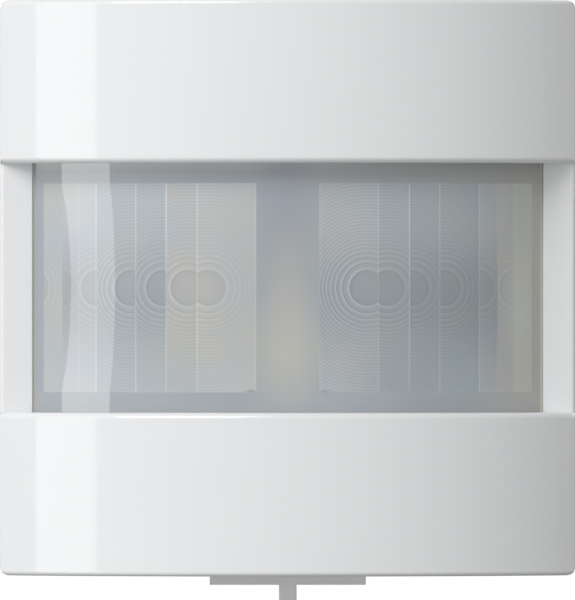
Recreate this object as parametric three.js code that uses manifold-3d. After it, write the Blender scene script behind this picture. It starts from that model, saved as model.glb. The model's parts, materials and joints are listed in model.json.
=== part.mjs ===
// Flush-mounted motion sensor head, 55 x 55 mm, that plugs onto a wall insert.
// Frame, in millimetres: +X right, +Y towards the wall, +Z up, the front faces -Y.
// The origin is the centre of the rear housing's flat seating face.
import * as THREE from 'three';
import { mergeVertices } from 'three/addons/utils/BufferGeometryUtils.js';
import Module from 'manifold-3d';

const wasm = await Module();
wasm.setup();

// ---- driving dimensions ----
const GAP = 0.3; // play between pieces that touch
const OVERCUT = 1; // how far a cutting solid reaches past the face it cuts through
const OVERLAP = 0.5; // how far a solid that is added on reaches into the one it joins
const HEAD_HALF = 27.5; // half of the square front
const CORNER_RADIUS = 0.9; // corners of the square front
const BAND_RADIUS = 39; // the bulging bands above and below the window
const BAND_EDGE_Y = -14; // where a band meets the side walls
const COVER_WALL = 2.3;
const COVER_BACK_Y = -4; // rear edge of the cover's skirt
const WINDOW_HALF_WIDTH = 24.4;
const WINDOW_HALF_HEIGHT = 11.9;
const CHEEK_SETBACK = 0.5; // flat strips beside the window, behind the bands' side edge
const CHEEK_WALL = 1.8;

const LENS_SETBACK = 2.6; // lens face behind the bands' face
const LENS_WALL = 1;
const LENS_HALF_HEIGHT = 14.2; // it reaches behind the bands
const LENS_FLANGE_WALL = 1;
const RETAINER_WALL = 1.2;
const RETAINER_HALF_HEIGHT = 15.6;
const RETAINER_OPENING = [22.6, 12.6]; // half width and half height

const BOARD_HALF = 24.7;
const BOARD_FRONT_Y = -8.6;
const BOARD_WALL = 1.6;
const BOSS_PLACE = [20.5, 19.5]; // x and z of the screw bosses, in each corner
const BOSS_RADIUS = 2.3;
const SCREW_RADIUS = 0.9;
const SCREW_HOLE_RADIUS = 1.25;
const SCREW_HEAD_RADIUS = 1.9;
const SCREW_HEAD_HEIGHT = 1.3;
const SCREW_LENGTH = 5;
const SCREW_CROSS = { half: [1.2, 0.3], depth: 0.7 };

const HOUSING_HALF = 24.8;
const HOUSING_FLOOR = 2;
const HOUSING_WALL = 1.6;
const SNAP_DEPTH = 0.7;
const SNAP_HALF_LENGTH = 3;
const SNAP_PLACES = [-13, 13];
const SNAP_Y = [-6.2, -5];
const SNAP_LIP = 0.3; // flat tip of a ramp

const GUIDE_HALF_WIDTH = 7.5; // pad under the housing that guides the mode slide
const GUIDE_BOTTOM_Z = -28.52;
const GUIDE_FRONT_Y = -3.7;
const SLIDE_HALF_TRAVEL = 4;
const SLIDE_Y = [-2.4, -1.3];
const SLIDE_STEM_HALF = 0.85;
const SLIDE_TIP_Z = -30.3;
const CARRIAGE_HALF = 3;
const CARRIAGE_Z = [-22.9, -18.2];
const SWITCH_Z = -20.5;
const SWITCH_HALF = [7, 2.5];
const SWITCH_REAR_Y = -2.8;
const KNOB_HALF = [0.9, 0.75];
const KNOB_Y = [-4.6, -1.55];

const TRIMMER_PLACES = { sensitivity: -13, brightness: 0, time: 13 };
const TRIMMER_Z = 14;
const TRIMMER_HALF = 3.3;
const TRIMMER_HEIGHT = 3.6;
const ROTOR_RADIUS = 2.1;
const ROTOR_REAR_Y = -0.5;
const ROTOR_SLOT = [0.8, 3]; // width and length of the screwdriver slot
const ROTOR_SLOT_DEPTH = 0.9;

const PLUG_Z = -8;
const PLUG_HALF = [8.5, 4];
const PLUG_REAR_Y = 4.5;
const PIN_HALF = 0.4;
const PIN_TIP_Y = 8.5;
const PIN_COLUMNS = [-5.7, -1.9, 1.9, 5.7];
const PIN_ROWS = [PLUG_Z - 1.7, PLUG_Z + 1.7];

const CLIP_PLACE_X = 20.4;
const CLIP_HALF_WIDTH = 4;
const CLIP_WALL = 0.4;
const CLIP_TIP_Y = 6.5;
const CLIP_BULGE = 0.9;
const CLIP_BULGE_START_Y = 2.4;
const CLIP_FOOT_LENGTH = 5;

const CARRIER_HALF = [22.3, 12.3];
const CARRIER_WALL = 1.5;
const PARTITION_INNER_X = 3;
const PARTITION_WALL = 0.8;
const PARTITION_HALF_HEIGHT = 11;
const PARTITION_FRONT_Y = -19;

const SENSOR_PLACE = [12, -12.4]; // x and y of the middle of a slanted seat
const SENSOR_TILT = Math.PI / 10;
const SENSOR_SEAT_HALF = 4.9;
const CAN_RADIUS = 4.1;
const CAN_FLANGE_RADIUS = 4.55;
const CAN_FLANGE_HEIGHT = 0.6;
const CAN_HEIGHT = 4;
const SENSOR_WINDOW_HALF = [2.2, 1.7];
const SENSOR_WINDOW_WALL = 0.5;

const LED_Z = -6;
const LED_RADIUS = 1.5;
const LED_TIP_Y = -13.2;
const GUIDE_FACE_Y = -20.9;
const GUIDE_REAR_Y = LED_TIP_Y - GAP;
const GUIDE_HEAD_HALF = [2.5, 3.2];
const GUIDE_COLUMN_HALF = 1;
const GUIDE_COLUMN_TOP_Z = 4.5;
const BRIGHTNESS_SENSOR = { z: 8, half: [2, 1.6], height: 1.2 };

// Box-shaped and round components on the front of the circuit board.
const CHIPS = {
  microcontroller: { x: 0, z: 20, half: [4, 3.5], height: 1.2 },
  voltage_regulator: { x: 11, z: 20, half: [3.2, 1.8], height: 1.7 },
};
const CRYSTAL = { x: 9, z: -20, half: [5, 2.2], height: 3.4 };
const CAPACITORS = {
  large_capacitor: { x: -12, z: 20, radius: 4, height: 9 },
  small_capacitor_left: { x: -12, z: -20, radius: 2.5, height: 7 },
  small_capacitor_right: { x: -5, z: -20, radius: 2.5, height: 7 },
};

// ---- derived places ----
const BAND_CENTRE_Y = BAND_EDGE_Y + Math.sqrt(BAND_RADIUS ** 2 - HEAD_HALF ** 2);
const BAND_APEX_Y = BAND_CENTRE_Y - BAND_RADIUS;
const CAVITY_RADIUS = BAND_RADIUS - COVER_WALL;
const CAVITY_HALF = HEAD_HALF - COVER_WALL;
const CHEEK_FRONT_Y = BAND_EDGE_Y + CHEEK_SETBACK;
const CHEEK_REAR_Y = CHEEK_FRONT_Y + CHEEK_WALL;
const LENS_RADIUS = BAND_RADIUS - LENS_SETBACK;
const LENS_HALF_WIDTH = WINDOW_HALF_WIDTH - GAP;
const LENS_FLANGE_Y = CHEEK_REAR_Y + GAP;
const LENS_REAR_Y = LENS_FLANGE_Y + LENS_FLANGE_WALL;
const RETAINER_Y = LENS_REAR_Y + GAP;
const BOARD_REAR_Y = BOARD_FRONT_Y + BOARD_WALL;
const CARRIER_REAR_Y = BOARD_FRONT_Y - GAP;
const CARRIER_FRONT_Y = CARRIER_REAR_Y - CARRIER_WALL;
const HOUSING_FRONT_Y = BOARD_REAR_Y + GAP;
const FLOOR_FRONT_Y = -HOUSING_FLOOR;
const CHANNEL_HALF = SLIDE_HALF_TRAVEL + SLIDE_STEM_HALF + 1.2 * GAP;
const CHANNEL_Y = [SLIDE_Y[0] - GAP, SLIDE_Y[1] + GAP];
const COVER_BAND_PROFILE = { half: HEAD_HALF, radius: BAND_RADIUS, backY: COVER_BACK_Y };
const CAVITY_PROFILE = { half: CAVITY_HALF, radius: CAVITY_RADIUS, backY: 1 };

// ---- materials ----
function plastic(colour, roughness) {
  return new THREE.MeshStandardMaterial({ color: colour, roughness, metalness: 0 });
}

function metal(colour, roughness) {
  return new THREE.MeshStandardMaterial({ color: colour, roughness, metalness: 1 });
}

const whiteGloss = plastic(0xf0f1f3, 0.12);
const milkyClear = plastic(0xc4cbcf, 0.08);
const paleGrey = plastic(0xa5a6a8, 0.55);
const innerWhite = plastic(0xe4e5e2, 0.5);
const warmClear = plastic(0xf2ecc8, 0.15);
const boardGreen = plastic(0x2f6b45, 0.45);
const chipBlack = plastic(0x1c1d1f, 0.4);
const darkBlue = plastic(0x24406b, 0.35);
const tinPlate = metal(0xc9cacc, 0.3);
const springSteel = metal(0xb9bbbe, 0.25);
const goldPlate = metal(0xd9b35b, 0.25);
const filterGlass = plastic(0x2a2430, 0.1);

// ---- solids ----
function solid(geometry) {
  geometry.deleteAttribute('normal');
  geometry.deleteAttribute('uv');
  const merged = mergeVertices(geometry, 1e-5);
  const mesh = new wasm.Mesh({
    numProp: 3,
    vertProperties: new Float32Array(merged.attributes.position.array),
    triVerts: new Uint32Array(merged.index.array),
  });
  return new wasm.Manifold(mesh);
}

function geometryOf(manifold) {
  const { vertProperties, triVerts } = manifold.getMesh();
  const geometry = new THREE.BufferGeometry();
  geometry.setAttribute('position', new THREE.BufferAttribute(vertProperties, 3));
  geometry.setIndex(new THREE.BufferAttribute(triVerts, 1));
  return geometry;
}

// A box between two values on each axis.
function box([x0, x1], [y0, y1], [z0, z1]) {
  const geometry = new THREE.BoxGeometry(x1 - x0, y1 - y0, z1 - z0);
  geometry.translate((x0 + x1) / 2, (y0 + y1) / 2, (z0 + z1) / 2);
  return solid(geometry);
}

// A box that is centred on a place in X and Z.
function block(x, z, [halfX, halfZ], rangeY) {
  return box([x - halfX, x + halfX], rangeY, [z - halfZ, z + halfZ]);
}

// An outline in X and Y, pulled along Z.
function prismZ(shape, z0, z1, curveSegments = 28) {
  const settings = { depth: z1 - z0, bevelEnabled: false, curveSegments };
  const geometry = new THREE.ExtrudeGeometry(shape, settings);
  geometry.translate(0, 0, z0);
  return solid(geometry);
}

// An outline in X and Z, pulled along Y.
function prismY(shape, y0, y1, curveSegments = 4) {
  const settings = { depth: y1 - y0, bevelEnabled: false, curveSegments };
  const geometry = new THREE.ExtrudeGeometry(shape, settings);
  geometry.rotateX(Math.PI / 2);
  geometry.translate(0, y1, 0);
  return solid(geometry);
}

// A round bar along Y.
function barY(x, z, radius, [y0, y1], sides = 20) {
  const geometry = new THREE.CylinderGeometry(radius, radius, y1 - y0, sides);
  geometry.translate(x, (y0 + y1) / 2, z);
  return solid(geometry);
}

function polygon(points) {
  return new THREE.Shape(points.map(([x, y]) => new THREE.Vector2(x, y)));
}

function roundedSquare(half, radius) {
  const shape = new THREE.Shape();
  const straight = half - radius;
  shape.absarc(straight, straight, radius, 0, Math.PI / 2);
  shape.absarc(-straight, straight, radius, Math.PI / 2, Math.PI);
  shape.absarc(-straight, -straight, radius, Math.PI, 1.5 * Math.PI);
  shape.absarc(straight, -straight, radius, 1.5 * Math.PI, 2 * Math.PI);
  return shape;
}

// Plan view of a bulging front: straight sides and back, and an arc that faces -Y.
function bulgeShape({ half, radius, backY }) {
  const shape = new THREE.Shape();
  const spread = Math.asin(half / radius);
  shape.moveTo(half, backY);
  shape.lineTo(-half, backY);
  shape.absarc(0, BAND_CENTRE_Y, radius, -Math.PI / 2 - spread, -Math.PI / 2 + spread);
  return shape;
}

function between(first, second) {
  return [Math.min(first, second), Math.max(first, second)];
}

function corners() {
  const [x, z] = BOSS_PLACE;
  return [[-x, -z], [x, -z], [-x, z], [x, z]];
}

const group = new THREE.Group();

function add(name, body, material) {
  const mesh = new THREE.Mesh(geometryOf(body), material);
  mesh.name = name;
  group.add(mesh);
  return mesh;
}

// ---- front: cover, lens and what holds the lens ----
function frontCover() {
  const outline = roundedSquare(HEAD_HALF, CORNER_RADIUS);
  const beyond = HEAD_HALF + OVERCUT;
  const bulge = prismZ(bulgeShape(COVER_BAND_PROFILE), -beyond, beyond);
  const outer = prismY(outline, BAND_APEX_Y - OVERCUT, COVER_BACK_Y).intersect(bulge);
  const windowZ = [-WINDOW_HALF_HEIGHT, WINDOW_HALF_HEIGHT];
  const channelY = [BAND_APEX_Y - OVERCUT, CHEEK_FRONT_Y];
  const channel = box([-beyond, beyond], channelY, windowZ);
  const cavity = prismZ(bulgeShape(CAVITY_PROFILE), -CAVITY_HALF, CAVITY_HALF);
  let body = outer.subtract(channel).subtract(cavity);
  for (const side of [-1, 1]) {
    const cheekX = between(side * WINDOW_HALF_WIDTH, side * (CAVITY_HALF + OVERLAP));
    body = body.add(box(cheekX, [CHEEK_FRONT_Y, CHEEK_REAR_Y], windowZ));
    const pocketEnd = CAVITY_HALF + SNAP_DEPTH + GAP;
    const pocketX = between(side * (CAVITY_HALF - OVERCUT), side * pocketEnd);
    const pocketY = [SNAP_Y[0] - GAP, SNAP_Y[1] + GAP];
    for (const z of SNAP_PLACES) {
      const rangeZ = [z - SNAP_HALF_LENGTH - GAP, z + SNAP_HALF_LENGTH + GAP];
      body = body.subtract(box(pocketX, pocketY, rangeZ));
    }
  }
  for (const [x, z] of corners()) {
    const boss = barY(x, z, BOSS_RADIUS, [BAND_APEX_Y, CARRIER_REAR_Y]).intersect(outer);
    const pilot = barY(x, z, SCREW_HOLE_RADIUS, [CARRIER_REAR_Y - SCREW_LENGTH, 0]);
    body = body.add(boss).subtract(pilot);
  }
  return body;
}

function fresnelLens() {
  const plate = { half: LENS_HALF_WIDTH, radius: LENS_RADIUS, backY: LENS_REAR_Y };
  const inside = {
    half: LENS_HALF_WIDTH - LENS_WALL,
    radius: LENS_RADIUS - LENS_WALL,
    backY: LENS_REAR_Y + OVERCUT,
  };
  const flangeX = CAVITY_HALF - GAP;
  const outer = prismZ(bulgeShape(plate), -LENS_HALF_HEIGHT, LENS_HALF_HEIGHT);
  const flange = block(0, 0, [flangeX, LENS_HALF_HEIGHT], [LENS_FLANGE_Y, LENS_REAR_Y]);
  const beyond = LENS_HALF_HEIGHT + OVERCUT;
  return outer.add(flange).subtract(prismZ(bulgeShape(inside), -beyond, beyond));
}

function lensRetainer() {
  const rangeY = [RETAINER_Y, RETAINER_Y + RETAINER_WALL];
  const plate = block(0, 0, [CAVITY_HALF - GAP, RETAINER_HALF_HEIGHT], rangeY);
  const opening = block(0, 0, RETAINER_OPENING, [RETAINER_Y - OVERCUT, 0]);
  return plate.subtract(opening);
}

// ---- optics behind the lens ----
function sensorCarrier() {
  let body = block(0, 0, CARRIER_HALF, [CARRIER_FRONT_Y, CARRIER_REAR_Y]);
  const outerX = PARTITION_INNER_X + PARTITION_WALL;
  for (const side of [-1, 1]) {
    const x = side * (PARTITION_INNER_X + outerX) / 2;
    const half = [PARTITION_WALL / 2, PARTITION_HALF_HEIGHT];
    body = body.add(block(x, 0, half, [PARTITION_FRONT_Y, CARRIER_FRONT_Y + OVERLAP]));
  }
  return body.subtract(barY(0, LED_Z, LED_RADIUS + GAP, [CARRIER_FRONT_Y - OVERCUT, 0]));
}

function lightGuide() {
  const rangeY = [GUIDE_FACE_Y, GUIDE_REAR_Y];
  const head = block(0, LED_Z, GUIDE_HEAD_HALF, rangeY);
  const columnX = [-GUIDE_COLUMN_HALF, GUIDE_COLUMN_HALF];
  return head.add(box(columnX, rangeY, [LED_Z, GUIDE_COLUMN_TOP_Z]));
}

function statusLed() {
  const barrel = barY(0, LED_Z, LED_RADIUS, [LED_TIP_Y + LED_RADIUS, BOARD_FRONT_Y - GAP], 16);
  const dome = new THREE.SphereGeometry(LED_RADIUS, 16, 10);
  dome.translate(0, LED_TIP_Y + LED_RADIUS, LED_Z);
  return barrel.add(solid(dome));
}

function brightnessSensor() {
  const { z, half, height } = BRIGHTNESS_SENSOR;
  return block(0, z, half, [CARRIER_FRONT_Y - GAP - height, CARRIER_FRONT_Y - GAP]);
}

// Wedge under a heat sensor; side is -1 on the left and 1 on the right.
function sensorHolder(side) {
  const [x, y] = SENSOR_PLACE;
  const reachX = SENSOR_SEAT_HALF * Math.cos(SENSOR_TILT);
  const reachY = SENSOR_SEAT_HALF * Math.sin(SENSOR_TILT);
  const rearY = CARRIER_FRONT_Y - GAP;
  const outline = [
    [side * (x + reachX), rearY],
    [side * (x + reachX), y + reachY],
    [side * (x - reachX), y - reachY],
    [side * (x - reachX), rearY],
  ];
  return prismZ(polygon(outline), -SENSOR_SEAT_HALF, SENSOR_SEAT_HALF);
}

function sensorCan() {
  const flange = barY(0, 0, CAN_FLANGE_RADIUS, [-CAN_FLANGE_HEIGHT, 0], 24);
  const can = barY(0, 0, CAN_RADIUS, [-CAN_HEIGHT, 0], 24);
  const recessHalf = SENSOR_WINDOW_HALF.map((half) => half + GAP);
  const recessY = [-CAN_HEIGHT - OVERCUT, -CAN_HEIGHT + SENSOR_WINDOW_WALL + GAP];
  return flange.add(can).subtract(block(0, 0, recessHalf, recessY));
}

function sensorWindow() {
  return block(0, 0, SENSOR_WINDOW_HALF, [-CAN_HEIGHT, -CAN_HEIGHT + SENSOR_WINDOW_WALL]);
}

function addHeatSensors() {
  for (const [name, side] of [['left', -1], ['right', 1]]) {
    add(`sensor_holder_${name}`, sensorHolder(side), innerWhite);
    const seat = new THREE.Group();
    const [x, y] = SENSOR_PLACE;
    seat.position.set(
      side * (x + GAP * Math.sin(SENSOR_TILT)),
      y - GAP * Math.cos(SENSOR_TILT),
      0,
    );
    seat.rotation.z = side * SENSOR_TILT;
    seat.add(add(`heat_sensor_${name}`, sensorCan(), tinPlate));
    seat.add(add(`heat_sensor_window_${name}`, sensorWindow(), filterGlass));
    group.add(seat);
  }
}

// ---- circuit board and its components ----
function circuitBoard() {
  let body = block(0, 0, [BOARD_HALF, BOARD_HALF], [BOARD_FRONT_Y, BOARD_REAR_Y]);
  for (const [x, z] of corners()) {
    body = body.subtract(barY(x, z, SCREW_HOLE_RADIUS, [BOARD_FRONT_Y - OVERCUT, 0]));
  }
  return body;
}

function onBoardFront(height) {
  return [BOARD_FRONT_Y - GAP - height, BOARD_FRONT_Y - GAP];
}

function addBoardParts() {
  add('circuit_board', circuitBoard(), boardGreen);
  for (const [name, { x, z, half, height }] of Object.entries(CHIPS)) {
    add(name, block(x, z, half, onBoardFront(height)), chipBlack);
  }
  const crystalY = onBoardFront(CRYSTAL.height);
  add('clock_crystal', block(CRYSTAL.x, CRYSTAL.z, CRYSTAL.half, crystalY), tinPlate);
  for (const [name, { x, z, radius, height }] of Object.entries(CAPACITORS)) {
    add(name, barY(x, z, radius, onBoardFront(height)), darkBlue);
  }
}

function boardScrew(x, z) {
  const headY = [BOARD_REAR_Y + GAP, BOARD_REAR_Y + GAP + SCREW_HEAD_HEIGHT];
  const head = barY(x, z, SCREW_HEAD_RADIUS, headY, 16);
  const shank = barY(x, z, SCREW_RADIUS, [headY[0] - SCREW_LENGTH, headY[0] + OVERLAP], 12);
  const crossY = [headY[1] - SCREW_CROSS.depth, headY[1] + OVERCUT];
  const [long, short] = SCREW_CROSS.half;
  const cross = block(x, z, [long, short], crossY).add(block(x, z, [short, long], crossY));
  return head.add(shank).subtract(cross);
}

// ---- rear: housing, adjusters, mode slide and plug ----
function rearHousing() {
  const wallY = [HOUSING_FRONT_Y, 0];
  const innerHalf = HOUSING_HALF - HOUSING_WALL;
  let body = block(0, 0, [HOUSING_HALF, HOUSING_HALF], wallY);
  const hollowY = [HOUSING_FRONT_Y - OVERCUT, FLOOR_FRONT_Y];
  body = body.subtract(block(0, 0, [innerHalf, innerHalf], hollowY));
  const padX = [-GUIDE_HALF_WIDTH, GUIDE_HALF_WIDTH];
  body = body.add(box(padX, [GUIDE_FRONT_Y, 0], [GUIDE_BOTTOM_Z, -innerHalf]));
  const channelZ = [GUIDE_BOTTOM_Z - OVERCUT, -innerHalf + OVERCUT];
  body = body.subtract(box([-CHANNEL_HALF, CHANNEL_HALF], CHANNEL_Y, channelZ));
  const recessHalf = SLIDE_HALF_TRAVEL + CARRIAGE_HALF + GAP;
  const recessY = [FLOOR_FRONT_Y - OVERCUT, CHANNEL_Y[1]];
  const recessZ = [-innerHalf, CARRIAGE_Z[1] + GAP];
  body = body.subtract(box([-recessHalf, recessHalf], recessY, recessZ));
  const throughY = [FLOOR_FRONT_Y - OVERCUT, OVERCUT];
  for (const x of Object.values(TRIMMER_PLACES)) {
    body = body.subtract(barY(x, TRIMMER_Z, ROTOR_RADIUS + GAP, throughY));
  }
  const plugHalf = PLUG_HALF.map((half) => half + GAP);
  body = body.subtract(block(0, PLUG_Z, plugHalf, throughY));
  for (const side of [-1, 1]) {
    const slotX = side * (CLIP_PLACE_X + CLIP_WALL / 2);
    const slotHalf = [CLIP_WALL / 2 + GAP, CLIP_HALF_WIDTH + GAP];
    body = body.subtract(block(slotX, 0, slotHalf, throughY));
    for (const z of SNAP_PLACES) {
      body = body.add(snapRamp(side, z));
    }
  }
  return body;
}

function snapRamp(side, z) {
  const foot = side * (HOUSING_HALF - OVERLAP);
  const tip = side * (HOUSING_HALF + SNAP_DEPTH + GAP / 2);
  const [startY, endY] = SNAP_Y;
  const outline = [[foot, startY], [tip, endY - SNAP_LIP], [tip, endY], [foot, endY]];
  return prismZ(polygon(outline), z - SNAP_HALF_LENGTH, z + SNAP_HALF_LENGTH);
}

function modeSlide() {
  const carriage = box([-CARRIAGE_HALF, CARRIAGE_HALF], SLIDE_Y, CARRIAGE_Z);
  const stemX = [-SLIDE_STEM_HALF, SLIDE_STEM_HALF];
  const stem = box(stemX, SLIDE_Y, [SLIDE_TIP_Z, CARRIAGE_Z[0] + OVERLAP]);
  const holeHalf = KNOB_HALF.map((half) => half + GAP);
  const holeY = [SLIDE_Y[0] - OVERCUT, SLIDE_Y[1] + OVERCUT];
  const knobHole = block(0, SWITCH_Z, holeHalf, holeY);
  return carriage.add(stem).subtract(knobHole);
}

function switchBody() {
  const body = block(0, SWITCH_Z, SWITCH_HALF, [BOARD_REAR_Y + GAP, SWITCH_REAR_Y]);
  const slotHalf = [SLIDE_HALF_TRAVEL + KNOB_HALF[0] + GAP, KNOB_HALF[1] + GAP];
  return body.subtract(block(0, SWITCH_Z, slotHalf, [KNOB_Y[0] - GAP, 0]));
}

function trimmerBody(x) {
  const rangeY = [BOARD_REAR_Y + GAP, BOARD_REAR_Y + GAP + TRIMMER_HEIGHT];
  return block(x, TRIMMER_Z, [TRIMMER_HALF, TRIMMER_HALF], rangeY);
}

function trimmerRotor(x) {
  const frontY = BOARD_REAR_Y + 2 * GAP + TRIMMER_HEIGHT;
  const slotY = [ROTOR_REAR_Y - ROTOR_SLOT_DEPTH, ROTOR_REAR_Y + OVERCUT];
  const slot = block(x, TRIMMER_Z, [ROTOR_SLOT[0] / 2, ROTOR_SLOT[1] / 2], slotY);
  return barY(x, TRIMMER_Z, ROTOR_RADIUS, [frontY, ROTOR_REAR_Y]).subtract(slot);
}

function plugBlock() {
  let body = block(0, PLUG_Z, PLUG_HALF, [BOARD_REAR_Y + GAP, PLUG_REAR_Y]);
  const holeHalf = [PIN_HALF + GAP, PIN_HALF + GAP];
  for (const x of PIN_COLUMNS) {
    for (const z of PIN_ROWS) {
      body = body.subtract(block(x, z, holeHalf, [BOARD_REAR_Y, PLUG_REAR_Y + OVERCUT]));
    }
  }
  return body;
}

// Spring leaf: a foot on the housing's floor and a leg with a bulge that grips the insert.
function retainingClip(side) {
  const x = CLIP_PLACE_X;
  const wall = CLIP_WALL;
  const footY = FLOOR_FRONT_Y - GAP;
  const footX = x - CLIP_FOOT_LENGTH;
  const bulgeY = (CLIP_BULGE_START_Y + CLIP_TIP_Y) / 2;
  const outline = [
    [footX, footY - wall],
    [x + wall, footY - wall],
    [x + wall, CLIP_BULGE_START_Y],
    [x + wall + CLIP_BULGE, bulgeY],
    [x + wall, CLIP_TIP_Y],
    [x, CLIP_TIP_Y],
    [x + CLIP_BULGE, bulgeY],
    [x, CLIP_BULGE_START_Y],
    [x, footY],
    [footX, footY],
  ].map(([px, py]) => [side * px, py]);
  return prismZ(polygon(outline), -CLIP_HALF_WIDTH, CLIP_HALF_WIDTH);
}

function addRearParts() {
  add('rear_housing', rearHousing(), paleGrey);
  add('mode_slide', modeSlide(), paleGrey);
  add('mode_switch_body', switchBody(), tinPlate);
  add('mode_switch_knob', block(0, SWITCH_Z, KNOB_HALF, KNOB_Y), chipBlack);
  for (const [name, x] of Object.entries(TRIMMER_PLACES)) {
    add(`${name}_trimmer_body`, trimmerBody(x), darkBlue);
    add(`${name}_trimmer_rotor`, trimmerRotor(x), innerWhite);
  }
  add('plug_block', plugBlock(), chipBlack);
  const pinY = [BOARD_REAR_Y + 2 * GAP, PIN_TIP_Y];
  let number = 0;
  for (const z of PIN_ROWS) {
    for (const x of PIN_COLUMNS) {
      number += 1;
      add(`contact_pin_${number}`, block(x, z, [PIN_HALF, PIN_HALF], pinY), goldPlate);
    }
  }
  add('retaining_clip_left', retainingClip(-1), springSteel);
  add('retaining_clip_right', retainingClip(1), springSteel);
}

add('front_cover', frontCover(), whiteGloss);
add('fresnel_lens', fresnelLens(), milkyClear);
add('lens_retainer', lensRetainer(), innerWhite);
add('sensor_carrier', sensorCarrier(), innerWhite);
add('light_guide', lightGuide(), warmClear);
add('status_led', statusLed(), warmClear);
add('brightness_sensor', brightnessSensor(), chipBlack);
addHeatSensors();
addBoardParts();
corners().forEach(([x, z], index) => add(`board_screw_${index + 1}`, boardScrew(x, z), springSteel));
addRearParts();

export default group;
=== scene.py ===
"""Looks of a flush-mounted motion sensor head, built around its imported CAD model."""
import json
import math

import bmesh
import bpy
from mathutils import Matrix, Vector


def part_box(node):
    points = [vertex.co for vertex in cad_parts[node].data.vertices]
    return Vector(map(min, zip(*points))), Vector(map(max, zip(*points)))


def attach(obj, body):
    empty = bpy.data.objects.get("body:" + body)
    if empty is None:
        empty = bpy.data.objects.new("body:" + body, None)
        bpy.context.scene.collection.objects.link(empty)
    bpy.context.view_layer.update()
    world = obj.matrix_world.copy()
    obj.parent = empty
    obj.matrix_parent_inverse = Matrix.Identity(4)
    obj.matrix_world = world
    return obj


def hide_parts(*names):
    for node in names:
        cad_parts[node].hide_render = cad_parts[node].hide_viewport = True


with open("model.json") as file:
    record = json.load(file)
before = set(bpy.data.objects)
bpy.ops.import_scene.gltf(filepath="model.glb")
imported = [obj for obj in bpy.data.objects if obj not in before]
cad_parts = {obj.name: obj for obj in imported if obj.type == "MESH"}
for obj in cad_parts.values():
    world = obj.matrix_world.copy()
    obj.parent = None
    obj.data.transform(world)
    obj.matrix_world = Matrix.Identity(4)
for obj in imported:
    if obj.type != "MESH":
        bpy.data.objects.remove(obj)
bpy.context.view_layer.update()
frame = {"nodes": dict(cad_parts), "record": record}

MM = 0.001

# ---- sizes that the CAD nodes give ----
COVER_LOW, COVER_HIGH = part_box("front_cover")
HEAD_HALF = COVER_HIGH.x
COVER_BACK_Y = COVER_HIGH.y
BAND_APEX_Y = COVER_LOW.y
LENS_BACK_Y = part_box("fresnel_lens")[1].y

# ---- shape of the front, as the CAD model has it ----
BAND_RADIUS = 39 * MM
BAND_CENTRE_Y = BAND_APEX_Y + BAND_RADIUS
WINDOW_HALF_WIDTH = 24.4 * MM
WINDOW_HALF_HEIGHT = 11.9 * MM
CHEEK_Y = -13.5 * MM
COVER_INNER_Y = -11.7 * MM  # back of the cheeks and of the filled front
LEDGE_RADIUS = 36.7 * MM
LENS_RADIUS = 36.4 * MM
LENS_HALF_WIDTH = 24.1 * MM
COVER_WALL = 2.3 * MM

OUTLINE_RADIUS = 0.9 * MM  # rounding of the square outline's corners
TOP_EDGE_RADIUS = 0.45 * MM
WINDOW_EDGE_RADIUS = 0.6 * MM
SIDE_EDGE_RADIUS = 0.4 * MM
OPENING_EDGE_RADIUS = 0.12 * MM
JOIN_DISTANCE = 1e-6  # vertices closer than this, in metres, are one
SHARP_EDGE = 30  # degrees between two faces, from which an edge stays sharp


# ---- small helpers ----
def arc_y(x, radius):
    """Y of the bulging front at x, for a cylinder of that radius around the bands' axis."""
    return BAND_CENTRE_Y - math.sqrt(radius * radius - x * x)


def steps(start, end, count):
    """count + 1 evenly spaced values."""
    return [start + (end - start) * i / count for i in range(count + 1)]


def mesh_object(name, vertices, faces, material, smooth=True):
    mesh = bpy.data.meshes.new(name)
    mesh.from_pydata([tuple(v) for v in vertices], [], faces)
    mesh.materials.append(material)
    obj = bpy.data.objects.new(name, mesh)
    bpy.context.scene.collection.objects.link(obj)
    if smooth:
        mesh.shade_smooth()
    return obj


def clean(obj):
    """Joins vertices at the same place and points the faces outwards."""
    bm = bmesh.new()
    bm.from_mesh(obj.data)
    bmesh.ops.remove_doubles(bm, verts=bm.verts, dist=JOIN_DISTANCE)
    bmesh.ops.dissolve_degenerate(bm, edges=bm.edges, dist=JOIN_DISTANCE)
    bmesh.ops.recalc_face_normals(bm, faces=bm.faces)
    bm.to_mesh(obj.data)
    bm.free()


def apply_modifiers(obj):
    depsgraph = bpy.context.evaluated_depsgraph_get()
    mesh = bpy.data.meshes.new_from_object(obj.evaluated_get(depsgraph), depsgraph=depsgraph)
    obj.modifiers.clear()
    obj.data = mesh


def finish_normals(obj, sharp=SHARP_EDGE):
    """Applies the modifiers, and shades edges sharper than that angle, in degrees, as sharp."""
    apply_modifiers(obj)
    obj.data.set_sharp_from_angle(angle=math.radians(sharp))
    weighted = obj.modifiers.new("normals", "WEIGHTED_NORMAL")
    weighted.keep_sharp = True
    apply_modifiers(obj)


def place(obj, body, slot, *nodes):
    """Lets a piece ride on a body in place of those CAD nodes, which it hides. The slot is not
    used.
    """
    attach(obj, body)
    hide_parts(*nodes)
    return obj


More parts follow.
